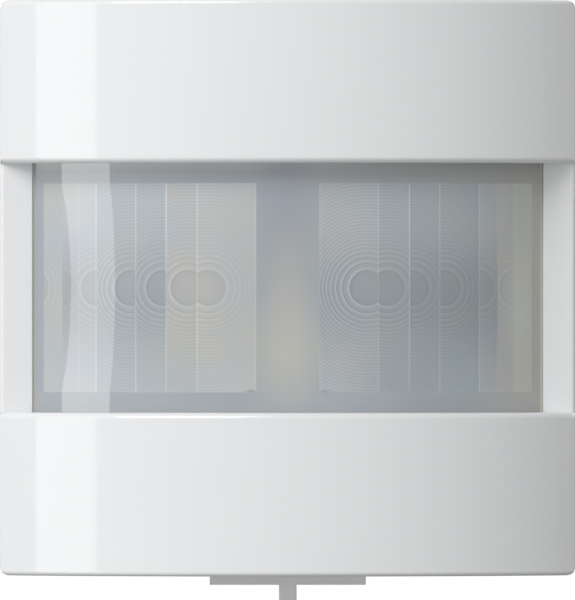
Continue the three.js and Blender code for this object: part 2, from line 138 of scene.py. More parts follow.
# ---- materials ----
class Nodes:
    """A material's node tree, with its Principled shader, and a short way to add nodes."""

    def __init__(self, name):
        self.material = bpy.data.materials.new(name)
        self.material.use_nodes = True
        self.tree = self.material.node_tree
        self.shader = self.tree.nodes["Principled BSDF"]
        self.place = self.add("ShaderNodeTexCoord").outputs["Object"]

    def add(self, kind, **settings):
        node = self.tree.nodes.new(kind)
        for key, value in settings.items():
            setattr(node, key, value)
        return node

    def feed(self, socket, value):
        if isinstance(value, bpy.types.NodeSocket):
            self.tree.links.new(value, socket)
        else:
            socket.default_value = value

    def math(self, operation, *values):
        node = self.add("ShaderNodeMath", operation=operation)
        for socket, value in zip(node.inputs, values):
            self.feed(socket, value)
        return node.outputs[0]

    def noise(self, scale, detail=3.0, stretch=(1, 1, 1)):
        mapping = self.add("ShaderNodeMapping")
        mapping.inputs["Scale"].default_value = stretch
        self.feed(mapping.inputs["Vector"], self.place)
        node = self.add("ShaderNodeTexNoise")
        self.feed(node.inputs["Vector"], mapping.outputs[0])
        node.inputs["Scale"].default_value = scale
        node.inputs["Detail"].default_value = detail
        return node.outputs["Fac"]

    def spread(self, value, low, high, start=0.0, end=1.0):
        node = self.add("ShaderNodeMapRange", interpolation_type="SMOOTHSTEP")
        for socket, number in zip(node.inputs, (value, start, end, low, high)):
            self.feed(socket, number)
        return node.outputs[0]

    def mix(self, share, first, second, blend="MIX"):
        node = self.add("ShaderNodeMix", data_type="RGBA", blend_type=blend)
        self.feed(node.inputs["Factor"], share)
        self.feed(node.inputs[6], first)
        self.feed(node.inputs[7], second)
        return node.outputs[2]

    def bump(self, height, strength, distance):
        node = self.add("ShaderNodeBump")
        node.inputs["Strength"].default_value = strength
        node.inputs["Distance"].default_value = distance
        self.feed(node.inputs["Height"], height)
        return node.outputs[0]


# Where a noise's values are low and high enough to count as none and all of its effect
NOISE_RANGE = (0.3, 0.7)

COVER_TONES = ((0.80, 0.81, 0.82, 1), (0.83, 0.838, 0.846, 1))
COVER_ROUGHNESS = (0.045, 0.09)
COVER_WAVES = 0.02 * MM


def cover_material():
    """Polished white moulding: nearly even gloss, with a faint waviness and handling marks."""
    n = Nodes("cover_white_gloss")
    n.feed(n.shader.inputs["Base Color"], n.mix(n.noise(60, 2), *COVER_TONES))
    n.feed(n.shader.inputs["Roughness"], n.spread(n.noise(300, 4), *COVER_ROUGHNESS, *NOISE_RANGE))
    n.feed(n.shader.inputs["Normal"], n.bump(n.noise(90, 1), 0.05, COVER_WAVES))
    n.shader.inputs["IOR"].default_value = 1.5
    return n.material


# ---- tones of the lens ----
BORDER_TONE = (0.36, 0.395, 0.42, 1)
LIP_TONE = (0.50, 0.50, 0.45, 1)
# painted shade that darkens the middle of each zone
ZONE_MIDDLE_SHADE = (0.18, 0.22, 0.255, 1)
DISC_TONE = (0.20, 0.23, 0.26, 1)
# painted highlight and painted shade of the ring grooves
GROOVE_HIGHLIGHT = (0.88, 0.92, 0.92, 1)
GROOVE_SHADE = (0.14, 0.16, 0.18, 1)
DRIFT_TINTS = ((0.97, 0.99, 1.03, 1), (1.03, 1.01, 0.97, 1))

# Soft patches of tone, of painted shade and of painted light on the lens: x and z of the middle,
# half width and half height in mm, how strong the patch is in its middle, and its tone
BORDER_PATCHES = [
    (24, 0, 9, 60, 0.9, (0.47, 0.47, 0.44, 1)),  # warm right end
    (-20, 12.6, 60, 2.4, 0.75, (0.92, 0.94, 0.93, 1)),  # painted light that lifts the strip lying in the upper band's shadow
    (16, 12.4, 20, 5.2, 0.9, (0.24, 0.255, 0.235, 1)),  # painted shade on its right part, under the upper band
    (14, -11.2, 10, 3, 0.5, (0.24, 0.27, 0.29, 1)),  # shade below the right array
    (0, 8, 5, 8, 0.7, (0.32, 0.345, 0.40, 1)),  # cooler tone and painted shade at the top of the middle strip, under the upper band
    (0, -1, 2.8, 9, 0.7, (0.45, 0.45, 0.43, 1)),  # shaft of the light guide behind the plastic: a warmer tone with a painted glow
    (0, -6, 5.5, 8, 0.95, (0.50, 0.50, 0.455, 1)),  # foot of the light guide behind the plastic: a warm tone with a painted glow
]
ARRAY_PATCHES = [
    (-8.5, 1.2, 4.5, 7, 0.12, (0.62, 0.58, 0.48, 1)),  # warm patch over the left array
    (22.4, -2, 2.6, 9, 0.4, (0.72, 0.72, 0.62, 1)),  # warm right end
    (-11, -9, 5, 6, 0.5, (0.41, 0.46, 0.50, 1)),  # shade at the bottom left
    (11, -9, 7, 6, 0.45, (0.28, 0.32, 0.36, 1)),  # shade at the bottom right
    (-3.5, -9.9, 0.9, 0.3, 0.55, (0.16, 0.18, 0.19, 1)),  # the arrays' lower inner corners
    (3.5, -9.9, 0.9, 0.3, 0.45, (0.16, 0.18, 0.19, 1)),
]

# ---- rings of the lens, in mm from a zone's centre ----
RING_AREA = 2.99  # mm2 between one ring and the next, while their pitch still narrows
RING_EVEN_FROM = 4.8  # where the pitch becomes even
RING_EVEN_PITCH = 0.31
RINGS_START = (1.45, 1.7)
RINGS_FADE = (2.5, 5.0)
DISC_EDGE = (1.5, 1.8)
DISC_DEPTHS = (0.12, 0.24)  # how strong the disc's tone is in its middle and at its edge
MIDDLE_FADE = (0.5, 8.0)  # height over which the painted shade in a zone's middle fades

# ---- rings of the lens, as shares ----
CREST_END = (0.05, 0.45)  # of a ring's pitch, where its painted highlight line fades
TROUGH_START = (0.55, 1.0)  # of a ring's pitch, where its painted shade line grows
SHADED_SIDE = 0.5  # how plain the painted ring lines are on the side away from the key light
FAR_RINGS = 0.8  # how plain they are far from the centre
# strength of the rings' painted highlight and painted shade lines
RING_HIGHLIGHT = 0.24
RING_SHADE = 0.34


def milky(name, coat_ior):
    """The lens's milky plastic with its polished outside, before its colour is set."""
    n = Nodes(name)
    n.shader.inputs["Roughness"].default_value = 0.5
    n.shader.inputs["IOR"].default_value = 1.4
    n.shader.inputs["Coat Weight"].default_value = 1.0
    n.shader.inputs["Coat Roughness"].default_value = 0.02
    n.shader.inputs["Coat IOR"].default_value = coat_ior
    return n


def cloudy(n, base):
    """Slow drifts of warm and cool in the plastic."""
    drift = n.spread(n.noise(140, 2), 0.0, 1.0, *NOISE_RANGE)
    return n.mix(1.0, base, n.mix(drift, *DRIFT_TINTS), "MULTIPLY")


def patch(n, x, z, width, height):
    """1 at a place on the lens, in mm, fading to 0 at that width and height from it."""
    sep = n.add("ShaderNodeSeparateXYZ")
    n.feed(sep.inputs[0], n.place)
    across = n.math("MULTIPLY", n.math("SUBTRACT", sep.outputs["X"], x * MM), 1 / (width * MM))
    up = n.math("MULTIPLY", n.math("SUBTRACT", sep.outputs["Z"], z * MM), 1 / (height * MM))
    square = n.math("ADD", n.math("MULTIPLY", across, across), n.math("MULTIPLY", up, up))
    return n.spread(n.math("SQRT", square), 1.0, 0.0)


def patched(n, base, patches):
    for x, z, width, height, strength, tone in patches:
        base = n.mix(n.math("MULTIPLY", patch(n, x, z, width, height), strength), base, tone)
    return base


def lens_plain_material():
    """The smooth frame of the lens and its middle, with patches of painted light and painted
    shade, and the light guide's warm tone with a painted glow.
    """
    n = milky("lens_plain", 1.75)
    base = patched(n, cloudy(n, BORDER_TONE), BORDER_PATCHES)
    n.feed(n.shader.inputs["Base Color"], base)
    return n.material


def lens_lip_material():
    """The lens's lips beside the window, a little yellower than the rest."""
    n = milky("lens_lip", 1.45)
    n.feed(n.shader.inputs["Base Color"], cloudy(n, LIP_TONE))
    return n.material


def ring_count(n, radius):
    """How many rings lie within a radius: evenly spaced in area at first, then in radius."""
    near = n.math("MINIMUM", radius, RING_EVEN_FROM)
    count = n.math("DIVIDE", n.math("MULTIPLY", near, near), RING_AREA)
    far = n.math("MAXIMUM", n.math("SUBTRACT", radius, RING_EVEN_FROM), 0.0)
    return n.math("ADD", count, n.math("DIVIDE", far, RING_EVEN_PITCH))


def lens_array_material():
    """The lens arrays in each zone's own tone: the inner face's ring grooves are drawn as painted
    highlight and painted shade lines, plainer away from the key light, with a small bump.
    """
    n = milky("lens_array", 1.6)
    tint = n.add("ShaderNodeVertexColor", layer_name="tint")
    plain = n.add("ShaderNodeAttribute", attribute_name="rings").outputs["Fac"]
    uv = n.add("ShaderNodeUVMap", uv_map="zones").outputs[0]
    sep = n.add("ShaderNodeSeparateXYZ")
    n.feed(sep.inputs[0], uv)
    length = n.add("ShaderNodeVectorMath", operation="LENGTH")
    n.feed(length.inputs[0], uv)
    radius = length.outputs["Value"]
    height = n.math("ABSOLUTE", n.math("ADD", sep.outputs["Y"], 1.0))
    # painted shade in the middle of each zone, as strong as the tint's alpha
    middle = n.math("MULTIPLY", n.spread(height, 1.0, 0.0, *MIDDLE_FADE), tint.outputs["Alpha"])
    base = n.mix(middle, tint.outputs["Color"], ZONE_MIDDLE_SHADE)

    groove = n.math("FRACT", ring_count(n, radius))
    crest = n.spread(groove, 1.0, 0.0, *CREST_END)
    trough = n.spread(groove, 0.0, 1.0, *TROUGH_START)
    facing = n.math("DIVIDE", sep.outputs["X"], n.math("MAXIMUM", radius, 0.1))
    # the painted ring lines are stronger where the grooves face the key light on the left
    lit = n.spread(facing, 1.0, SHADED_SIDE, -1.0, 0.6)
    fade = n.spread(radius, 1.0, FAR_RINGS, *RINGS_FADE)
    strength = n.math("MULTIPLY", n.math("MULTIPLY", lit, fade), plain)
    rings = n.math("MULTIPLY", crest, n.spread(radius, 0.0, 1.0, *RINGS_START))
    # painted highlight on the rings' crests and painted shade in their troughs
    ring_highlights = n.math("MULTIPLY", n.math("MULTIPLY", rings, strength), RING_HIGHLIGHT)
    ring_shades = n.math("MULTIPLY", n.math("MULTIPLY", trough, strength), RING_SHADE)
    base = n.mix(ring_highlights, base, GROOVE_HIGHLIGHT)
    base = n.mix(ring_shades, base, GROOVE_SHADE)

    inside = n.spread(radius, 1.0, 0.0, *DISC_EDGE)
    disc = n.math("MULTIPLY", inside, n.spread(radius, *DISC_DEPTHS, 0.0, RINGS_START[1]))
    base = n.mix(n.math("MULTIPLY", disc, plain), base, DISC_TONE)
    n.feed(n.shader.inputs["Base Color"], cloudy(n, patched(n, base, ARRAY_PATCHES)))
    n.feed(n.shader.inputs["Normal"], n.bump(n.math("MULTIPLY", crest, plain), 0.3, 0.01 * MM))
    return n.material


def moulded(name, light, dark, roughness, grain):
    """Moulded plastic with a fine grain, that deep in mm, and a slow drift of tone and gloss."""
    n = Nodes(name)
    n.feed(n.shader.inputs["Base Color"], n.mix(n.noise(150, 4), light, dark))
    n.feed(n.shader.inputs["Roughness"], n.spread(n.noise(400, 5), *roughness, *NOISE_RANGE))
    n.feed(n.shader.inputs["Normal"], n.bump(n.noise(2500, 2), 0.4, grain * MM))
    return n.material


METAL_MARKS = 0.008 * MM


def plated(name, light, dark, roughness, stretch):
    """Metal with drawn or rolled marks, stretched along an axis, and duller patches."""
    n = Nodes(name)
    n.feed(n.shader.inputs["Base Color"], n.mix(n.noise(500, 4), light, dark))
    n.shader.inputs["Metallic"].default_value = 1.0
    marks = n.noise(2500, 4, stretch)
    n.feed(n.shader.inputs["Roughness"], n.spread(marks, *roughness, *NOISE_RANGE))
    n.feed(n.shader.inputs["Normal"], n.bump(marks, 0.3, METAL_MARKS))
    return n.material


# slot: light and dark tone, least and greatest roughness, and the grain's depth in mm
PLASTICS = {
    "inner_white": ((0.78, 0.78, 0.76, 1), (0.72, 0.72, 0.70, 1), (0.4, 0.55), 0.03),
    "guide_warm_clear": ((0.80, 0.76, 0.62, 1), (0.74, 0.70, 0.56, 1), (0.12, 0.22), 0.01),
    "led_clear": ((0.85, 0.86, 0.84, 1), (0.78, 0.80, 0.78, 1), (0.08, 0.16), 0.005),
    "chip_black": ((0.03, 0.03, 0.032, 1), (0.02, 0.02, 0.022, 1), (0.45, 0.65), 0.03),
    "filter_glass": ((0.05, 0.045, 0.06, 1), (0.035, 0.03, 0.045, 1), (0.05, 0.12), 0.003),
    "board_green": ((0.03, 0.16, 0.07, 1), (0.02, 0.11, 0.05, 1), (0.3, 0.5), 0.03),
    "capacitor_sleeve": ((0.03, 0.05, 0.12, 1), (0.02, 0.035, 0.09, 1), (0.2, 0.35), 0.03),
    "housing_grey": ((0.94, 0.945, 0.95, 1), (0.90, 0.905, 0.91, 1), (0.42, 0.6), 0.03),
    "slide_grey": ((0.94, 0.945, 0.95, 1), (0.90, 0.905, 0.91, 1), (0.4, 0.55), 0.03),
    "trimmer_blue": ((0.05, 0.16, 0.38, 1), (0.04, 0.12, 0.30, 1), (0.3, 0.45), 0.03),
    "rotor_white": ((0.78, 0.77, 0.74, 1), (0.70, 0.69, 0.66, 1), (0.3, 0.45), 0.03),
    "plug_black": ((0.035, 0.036, 0.038, 1), (0.025, 0.026, 0.028, 1), (0.4, 0.6), 0.03),
}

# slot: light and dark tone, least and greatest roughness, and the marks' stretch on x, y and z
METALS = {
    "tin_can": ((0.72, 0.73, 0.74, 1), (0.6, 0.61, 0.62, 1), (0.22, 0.42), (1, 1, 1)),
    "screw_steel": ((0.62, 0.62, 0.61, 1), (0.5, 0.5, 0.49, 1), (0.25, 0.45), (1, 1, 1)),
    "pin_gold": ((0.85, 0.64, 0.28, 1), (0.72, 0.52, 0.20, 1), (0.18, 0.38), (1, 0.1, 1)),
    "clip_steel": ((0.66, 0.66, 0.65, 1), (0.54, 0.54, 0.53, 1), (0.2, 0.4), (1, 1, 0.1)),
}

FINISHES = {name: moulded(name, *look) for name, look in PLASTICS.items()}
FINISHES.update({name: plated(name, *look) for name, look in METALS.items()})


# ---- front cover ----
SKIRT_FRONT_Y = -12.8 * MM
SKIRT_STEPS = 3
EDGE_STEPS = 5
CHEEK_STEPS = 6
WINDOW_STEPS = 96
ROUNDING_STEPS = 8
OPENING_STEPS = 4
CHEEK_ROWS = 5
BAND_ROWS = (0.3, 0.7)  # shares of the way down a band's face
MIRROR_MERGE = 1e-5
COVER_SHARP_EDGE = 40  # degrees
CORNER_START = SKIRT_STEPS + 1
CORNER_END = CORNER_START + EDGE_STEPS
CHEEK_END = CORNER_END + CHEEK_STEPS


def skirt_points(half):
    return [(half, y) for y in steps(COVER_BACK_Y, SKIRT_FRONT_Y, SKIRT_STEPS)]


def band_plan(inset_side, inset_front):
    """Right half of a band's plan, from the skirt's back to the middle, as (x, y) points."""
    half = HEAD_HALF - inset_side
    radius = BAND_RADIUS - inset_front
    edge = SIDE_EDGE_RADIUS
    centre_x = half - edge
    centre_y = BAND_CENTRE_Y - math.sqrt((radius - edge) ** 2 - centre_x ** 2)
    end = math.atan2(centre_y - BAND_CENTRE_Y, centre_x)
    points = skirt_points(half)
    for angle in steps(0, end, EDGE_STEPS):
        points.append((centre_x + edge * math.cos(angle), centre_y + edge * math.sin(angle)))
    for x in steps(points[-1][0], WINDOW_HALF_WIDTH, CHEEK_STEPS)[1:]:
        points.append((x, arc_y(x, radius)))
    spread = math.asin(WINDOW_HALF_WIDTH / BAND_RADIUS)
    for angle in steps(spread, 0, WINDOW_STEPS // 2)[1:]:
        x = BAND_RADIUS * math.sin(angle)
        points.append((x, arc_y(x, radius)))
    return points


def cheek_plan():
    """Right half of the plan beside the window. It has the bands' points as far as CHEEK_END."""
    edge = SIDE_EDGE_RADIUS
    opening = OPENING_EDGE_RADIUS
    points = skirt_points(HEAD_HALF)
    for angle in steps(0, math.pi / 2, EDGE_STEPS):
        points.append((HEAD_HALF - edge + edge * math.cos(angle),
                       CHEEK_Y + edge - edge * math.sin(angle)))
    for x in steps(HEAD_HALF - edge, WINDOW_HALF_WIDTH + opening, CHEEK_STEPS)[1:]:
        points.append((x, CHEEK_Y))
    for angle in steps(0, math.pi / 2, OPENING_STEPS)[1:]:
        points.append((WINDOW_HALF_WIDTH + opening - opening * math.sin(angle),
                       CHEEK_Y + opening - opening * math.cos(angle)))
    points.append((WINDOW_HALF_WIDTH, COVER_INNER_Y))
    return points


def side_share(column):
    """1 on the skirt, 0 on the bulge, and between them round the corner."""
    return min(max((CORNER_END - column) / EDGE_STEPS, 0.0), 1.0)


def top_row(turn):
    """A row of the upper band's right half at its top edge: turn is 1 on top and 0 below it."""
    angle = math.radians(90 * turn)
    inward, drop = 1 - math.cos(angle), 1 - math.sin(angle)
    row = []
    for column, (x, y) in enumerate(band_plan(OUTLINE_RADIUS * inward, TOP_EDGE_RADIUS * inward)):
        share = side_share(column)
        radius = TOP_EDGE_RADIUS + share * (OUTLINE_RADIUS - TOP_EDGE_RADIUS)
        row.append(Vector((x, y, HEAD_HALF - radius * drop)))
    return row


def window_row(turn):
    """A row of that half above the window: turn is 0 on the band's face and 1 on its underside."""
    angle = math.radians(90 * turn)
    inward, rise = 1 - math.cos(angle), 1 - math.sin(angle)
    row = []
    for column, (x, y) in enumerate(band_plan(0, WINDOW_EDGE_RADIUS * inward)):
        radius = WINDOW_EDGE_RADIUS * (1 - side_share(column))
        row.append(Vector((x, y, WINDOW_HALF_HEIGHT + radius * rise)))
    return row


class Skin:
    """Vertices and faces of a surface that is built row by row."""

    def __init__(self):
        self.vertices = []
        self.faces = []

    def row(self, points):
        start = len(self.vertices)
        self.vertices.extend(points)
        return list(range(start, start + len(points)))

    def strip(self, first, second):
        for i in range(len(first) - 1):
            self.faces.append((first[i], first[i + 1], second[i + 1], second[i]))

    def strips(self, rows):
        for first, second in zip(rows, rows[1:]):
            self.strip(first, second)


def inner(point, y):
    """The place on the cover's straight inner wall that lies beside a point of its outline."""
    half = HEAD_HALF - COVER_WALL
    return Vector((min(point.x, half), y, min(point.z, half)))


def build_cover():
    """The cover's upper right quarter with its walls, mirrored twice."""
    rows = [top_row(turn) for turn in steps(1, 0, ROUNDING_STEPS)]
    above, below = rows[-1], window_row(0)
    rows += [[a.lerp(b, share) for a, b in zip(above, below)] for share in BAND_ROWS]
    rows += [window_row(turn) for turn in steps(0, 1, ROUNDING_STEPS)]
    skin = Skin()
    band = [skin.row(row) for row in rows]
    skin.strips(band)
    top_middle = Vector((0, COVER_BACK_Y, HEAD_HALF))
    skin.faces.append(tuple(band[0] + skin.row([top_middle])))
    ledge = [Vector((p.x, arc_y(p.x, LEDGE_RADIUS), p.z)) for p in rows[-1][CHEEK_END:]]
    opening = [Vector((p.x, COVER_INNER_Y, p.z)) for p in ledge]
    skin.strips([band[-1][CHEEK_END:], skin.row(ledge), skin.row(opening)])
    cheeks = [[Vector((x, y, z)) for x, y in cheek_plan()]
              for z in steps(WINDOW_HALF_HEIGHT, 0, CHEEK_ROWS)]
    cheek = [skin.row(row) for row in cheeks]
    skin.strip(band[-1][:CHEEK_END + 1], cheek[0][:CHEEK_END + 1])
    skin.strips(cheek)
    outline = [top_middle] + [row[0] for row in rows + cheeks]
    front = [inner(point, COVER_INNER_Y) for point in outline]
    skin.strips([skin.row(outline), skin.row([inner(p, COVER_BACK_Y) for p in outline]),
                 skin.row(front)])
    skin.faces.append(tuple(skin.row(front + [row[-1] for row in reversed(cheeks)] + opening)))
    obj = mesh_object("cover_moulding", skin.vertices, skin.faces, cover_material())
    clean(obj)
    mirror = obj.modifiers.new("mirror", "MIRROR")
    mirror.use_axis = (True, False, True)
    mirror.merge_threshold = MIRROR_MERGE
    apply_modifiers(obj)
    clean(obj)
    finish_normals(obj, COVER_SHARP_EDGE)
    place(obj, "head", "cover_white_gloss", "front_cover")


# ---- lens ----
LENS_END_X = 17 * MM  # beyond it the lens curves back a little more
LENS_END_DROP = 5.2  # per metre
LENS_WALL = 0.9 * MM
LENS_TOP = 13.4 * MM  # hidden behind the bands
LENS_ROWS = 48
BORDER_ROWS = 3
COLUMN_WIDTH = 0.4 * MM
LENS_SHARP_EDGE = 25  # degrees
PILLOW_RISE = 0.34 * MM
ARRAY_HALF_HEIGHT = 9.97 * MM
ARRAY_FIRST = 3.07  # mm from the middle, where an array begins
FIRST_STEP_HIGHLIGHT = 0.08  # how strong the painted highlight on the step there is
STEP_HALF_WIDTH = 0.065  # mm, half the width of the step between two zones, which carries a painted highlight
LIP_Y = -13.3 * MM  # a soft lip fills the gap between the lens and the cover
LIP_X = 24.38 * MM

# Zones of an array from the middle outwards: outer edge and centre of its rings in mm, how strong
# the painted highlight on the step at its outer edge is, and then, for the left and for the right
# array, the zone's colour, how much painted shade darkens its middle, and how plainly its painted
# ring lines show
LENS_ZONES = [
    (8.64, 7.57, 0.28, ((0.49, 0.505, 0.50), 0.06, 0.7), ((0.42, 0.45, 0.47), 0.34, 0.85)),
    (11.6, 9.52, 0.38, ((0.47, 0.48, 0.475), 0.08, 0.65), ((0.38, 0.41, 0.435), 0.40, 0.7)),
    (14.5, 11.9, 0.28, ((0.425, 0.46, 0.475), 0.34, 0.6), ((0.355, 0.39, 0.42), 0.52, 0.5)),
    (18.3, 14.98, 0.18, ((0.43, 0.47, 0.485), 0.30, 0.6), ((0.345, 0.40, 0.425), 0.52, 0.6)),
    (20.0, 18.26, 0.08, ((0.48, 0.51, 0.535), 0.30, 0.4), ((0.41, 0.445, 0.46), 0.40, 0.4)),
    (21.6, 21.6, 0.0, ((0.49, 0.505, 0.525), 0.35, 0.25), ((0.465, 0.475, 0.46), 0.05, 0.35)),
    (23.4, 24.2, 0.0, ((0.47, 0.495, 0.50), 0.05, 0.6), ((0.50, 0.52, 0.48), 0.05, 0.15)),
]


def lens_columns():
    """X of the lens's columns from the middle to its side, with two on each step of the zones."""
    stops = [0.0]
    for edge in [ARRAY_FIRST] + [zone[0] for zone in LENS_ZONES]:
        stops += [(edge - STEP_HALF_WIDTH) * MM, (edge + STEP_HALF_WIDTH) * MM]
    stops.append(LENS_HALF_WIDTH)
    columns = [0.0]
    for start, end in zip(stops, stops[1:]):
        count = max(1, round((end - start) / COLUMN_WIDTH))
        columns += steps(start, end, count)[1:]
    return columns


def pillow(x, z):
    """How far an array's outer face stands out of the plain cylinder."""
    first, last = ARRAY_FIRST * MM, LENS_ZONES[-1][0] * MM
    share = (abs(x) - first) / (last - first)
    if not 0 < share < 1 or abs(z) >= ARRAY_HALF_HEIGHT:
        return 0.0
    return PILLOW_RISE * math.sin(math.pi * share) * (1 - (z / ARRAY_HALF_HEIGHT) ** 2)


def lens_point(x, z):
    drop = LENS_END_DROP * max(abs(x) - LENS_END_X, 0) ** 2
    return Vector((x, arc_y(x, LENS_RADIUS + pillow(x, z)) + drop, z))


def zone_at(x, z):
    """The array zone at a point, and how strong the painted highlight on a step between zones is
    there.
    """
    across = abs(x) / MM
    edges = [(ARRAY_FIRST, FIRST_STEP_HIGHLIGHT)] + [(zone[0], zone[2]) for zone in LENS_ZONES]
    step_highlight = sum(step for edge, step in edges if abs(across - edge) < STEP_HALF_WIDTH)
    if abs(z) > ARRAY_HALF_HEIGHT or across < ARRAY_FIRST - STEP_HALF_WIDTH:
        return None, 0.0
    for zone in LENS_ZONES:
        if across < zone[0]:
            return zone, step_highlight
    return None, 0.0


def arc_length(x):
    """Length in mm along the lens's face from its middle to x."""
    return LENS_RADIUS * math.asin(x / LENS_RADIUS) / MM


def lens_row(z):
    """One level row of the lens's face, its sides and the lips that close the gaps beside it."""
    right = [lens_point(x, z) for x in lens_columns()]
    right += [Vector((x, y, z)) for x, y in
              ((LENS_HALF_WIDTH, LIP_Y), (LIP_X, LIP_Y), (LIP_X, LENS_BACK_Y))]
    left = [Vector((-p.x, p.y, p.z)) for p in reversed(right[1:])]
    return left + right


def build_lens():
    below = steps(-LENS_TOP, -ARRAY_HALF_HEIGHT, BORDER_ROWS)
    heights = below + steps(-ARRAY_HALF_HEIGHT, ARRAY_HALF_HEIGHT, LENS_ROWS)[1:-1]
    heights += [-z for z in reversed(below)]
    skin = Skin()
    skin.strips([skin.row(lens_row(z)) for z in heights])
    obj = mesh_object("lens_window", skin.vertices, skin.faces, lens_plain_material())
    obj.data.materials.append(lens_array_material())
    obj.data.materials.append(lens_lip_material())
    obj.data.uv_layers.new(name="zones")
    obj.data.color_attributes.new("tint", "FLOAT_COLOR", "CORNER")
    obj.data.attributes.new("rings", "FLOAT", "CORNER")
    zones = obj.data.uv_layers["zones"]
    tints = obj.data.color_attributes["tint"]
    rings = obj.data.attributes["rings"]
    for face in obj.data.polygons:
        zone, step_highlight = zone_at(face.center.x, face.center.z)
        if abs(face.center.x) > LENS_HALF_WIDTH:
            face.material_index = 2
        if zone is None:
            continue
        face.material_index = 1
        _, centre, _, left, right = zone
        side, (tint, depth, strength) = (1, right) if face.center.x > 0 else (-1, left)
        middle = arc_length(centre * MM)
        for loop in face.loop_indices:
            point = obj.data.vertices[obj.data.loops[loop].vertex_index].co
            zones.data[loop].uv = (arc_length(point.x) - side * middle, point.z / MM)
            # the tint is lightened by the painted highlight on the steps, and its alpha is the
            # painted shade of the zone's middle
            tints.data[loop].color = (*[value * (1 + step_highlight) for value in tint], depth)
            rings.data[loop].value = strength
    wall = obj.modifiers.new("wall", "SOLIDIFY")
    wall.thickness = LENS_WALL
    wall.offset = -1
    finish_normals(obj, LENS_SHARP_EDGE)
    place(obj, "head", "lens_milky", "fresnel_lens")


# ---- pieces seen from behind and below ----
BODY_OF = {node: body for body, nodes in frame["record"]["behaviour"]["bodies"].items()
           for node in nodes}


def slot_name(obj):
    return obj.material_slots[0].material.name.split(".")[0]


def rounded(node, name, width, segments=2):
    """A copy of a CAD node with its edges rounded, which stands for the node."""
    obj = bpy.data.objects.new(name, frame["nodes"][node].data.copy())
    bpy.context.scene.collection.objects.link(obj)
    bm = bmesh.new()
    bm.from_mesh(obj.data)
    bmesh.ops.remove_doubles(bm, verts=bm.verts, dist=JOIN_DISTANCE)
    bmesh.ops.dissolve_limit(bm, angle_limit=math.radians(1), verts=bm.verts, edges=bm.edges)
    bm.to_mesh(obj.data)
    bm.free()
    bevel = obj.modifiers.new("rounding", "BEVEL")
    bevel.width = width
    bevel.segments = segments
    bevel.limit_method = "ANGLE"
    bevel.angle_limit = math.radians(SHARP_EDGE)
    apply_modifiers(obj)
    slot = slot_name(frame["nodes"][node])
    obj.data.materials.clear()
    obj.data.materials.append(FINISHES[slot])
    return place(obj, BODY_OF[node], slot, node)


BOX_FACES = ((0, 1, 3, 2), (4, 6, 7, 5), (0, 4, 5, 1), (2, 3, 7, 6), (0, 2, 6, 4), (1, 5, 7, 3))


def box_solid(skin, low, high):
    """Adds a box to the skin, as a solid of its own."""
    corners = [Vector((x, y, z)) for x in (low[0], high[0]) for y in (low[1], high[1])
               for z in (low[2], high[2])]
    v = skin.row(corners)
    for face in BOX_FACES:
        skin.faces.append(tuple(v[i] for i in face))


def tick_solid(skin, centre, angle, radii, half_width, depth):
    """Adds a thin bar that points at a centre on the rear face, sunk to that depth."""
    along = Vector((math.sin(angle), 0, math.cos(angle)))
    across = Vector((math.cos(angle), 0, -math.sin(angle))) * half_width
    corners = []
    for radius in radii:
        for side in (-1, 1):
            for y in (-depth, depth):
                corners.append(centre + along * radius + across * side + Vector((0, y, 0)))
    v = skin.row(corners)
    for face in BOX_FACES:
        skin.faces.append(tuple(v[i] for i in face))


def ring_solid(skin, centre, inner_radius, outer_radius, depth, sides=48):
    """Adds a flat ring on the rear face, sunk to that depth."""
    loops = []
    for radius, y in ((inner_radius, -depth), (outer_radius, -depth), (outer_radius, depth),
                      (inner_radius, depth)):
        loops.append(skin.row([centre + Vector((radius * math.sin(2 * math.pi * i / sides), y,
                                                radius * math.cos(2 * math.pi * i / sides)))
                               for i in range(sides)]))
    for first, second in zip(loops, loops[1:] + loops[:1]):
        for i in range(sides):
            j = (i + 1) % sides
            skin.faces.append((first[i], first[j], second[j], second[i]))


def cut_out(obj, skin):
    """Cuts the skin's solids out of a piece."""
    cutter = mesh_object("cutter", skin.vertices, skin.faces, obj.data.materials[0], False)
    clean(cutter)
    cut = obj.modifiers.new("cut", "BOOLEAN")
    cut.operation = "DIFFERENCE"
    cut.solver = "EXACT"
    cut.object = cutter
    apply_modifiers(obj)
    bpy.data.objects.remove(cutter)


GROOVE_DEPTH = 0.25 * MM
DIAL_TICKS = 11
DIAL_SWEEP = 130  # degrees to each side of the middle, as the rotors turn
DIAL_RADII = (3.3 * MM, 4.1 * MM)
DIAL_RING = (2.75 * MM, 2.95 * MM)
DIAL_TICK_HALF = 0.13 * MM
EJECTOR_PLACES = [(x * MM, z * MM) for x in (-20.5, 20.5) for z in (-20, 21)]
EJECTOR_RADII = (1.35 * MM, 1.5 * MM)

# widths of the rounded edges
HOUSING_ROUNDING = 0.25 * MM
PLUG_ROUNDING = 0.3 * MM
SMALL_ROUNDING = 0.12 * MM
CLIP_ROUNDING = 0.07 * MM
PIN_ROUNDING = 0.06 * MM


def build_housing():
    """The rear housing, with dials round its adjusters and the marks of its moulding."""
    housing = rounded("rear_housing", "housing_moulding", HOUSING_ROUNDING)
    skin = Skin()
    for rotor in ("sensitivity", "brightness", "time"):
        low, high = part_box(rotor + "_trimmer_rotor")
        centre = Vector(((low.x + high.x) / 2, 0, (low.z + high.z) / 2))
        ring_solid(skin, centre, *DIAL_RING, GROOVE_DEPTH)
        for angle in steps(-DIAL_SWEEP, DIAL_SWEEP, DIAL_TICKS - 1):
            tick_solid(skin, centre, math.radians(angle), DIAL_RADII, DIAL_TICK_HALF,
                       GROOVE_DEPTH)
    for x, z in EJECTOR_PLACES:
        ring_solid(skin, Vector((x, 0, z)), *EJECTOR_RADII, GROOVE_DEPTH / 2)
    cut_out(housing, skin)
    finish_normals(housing)


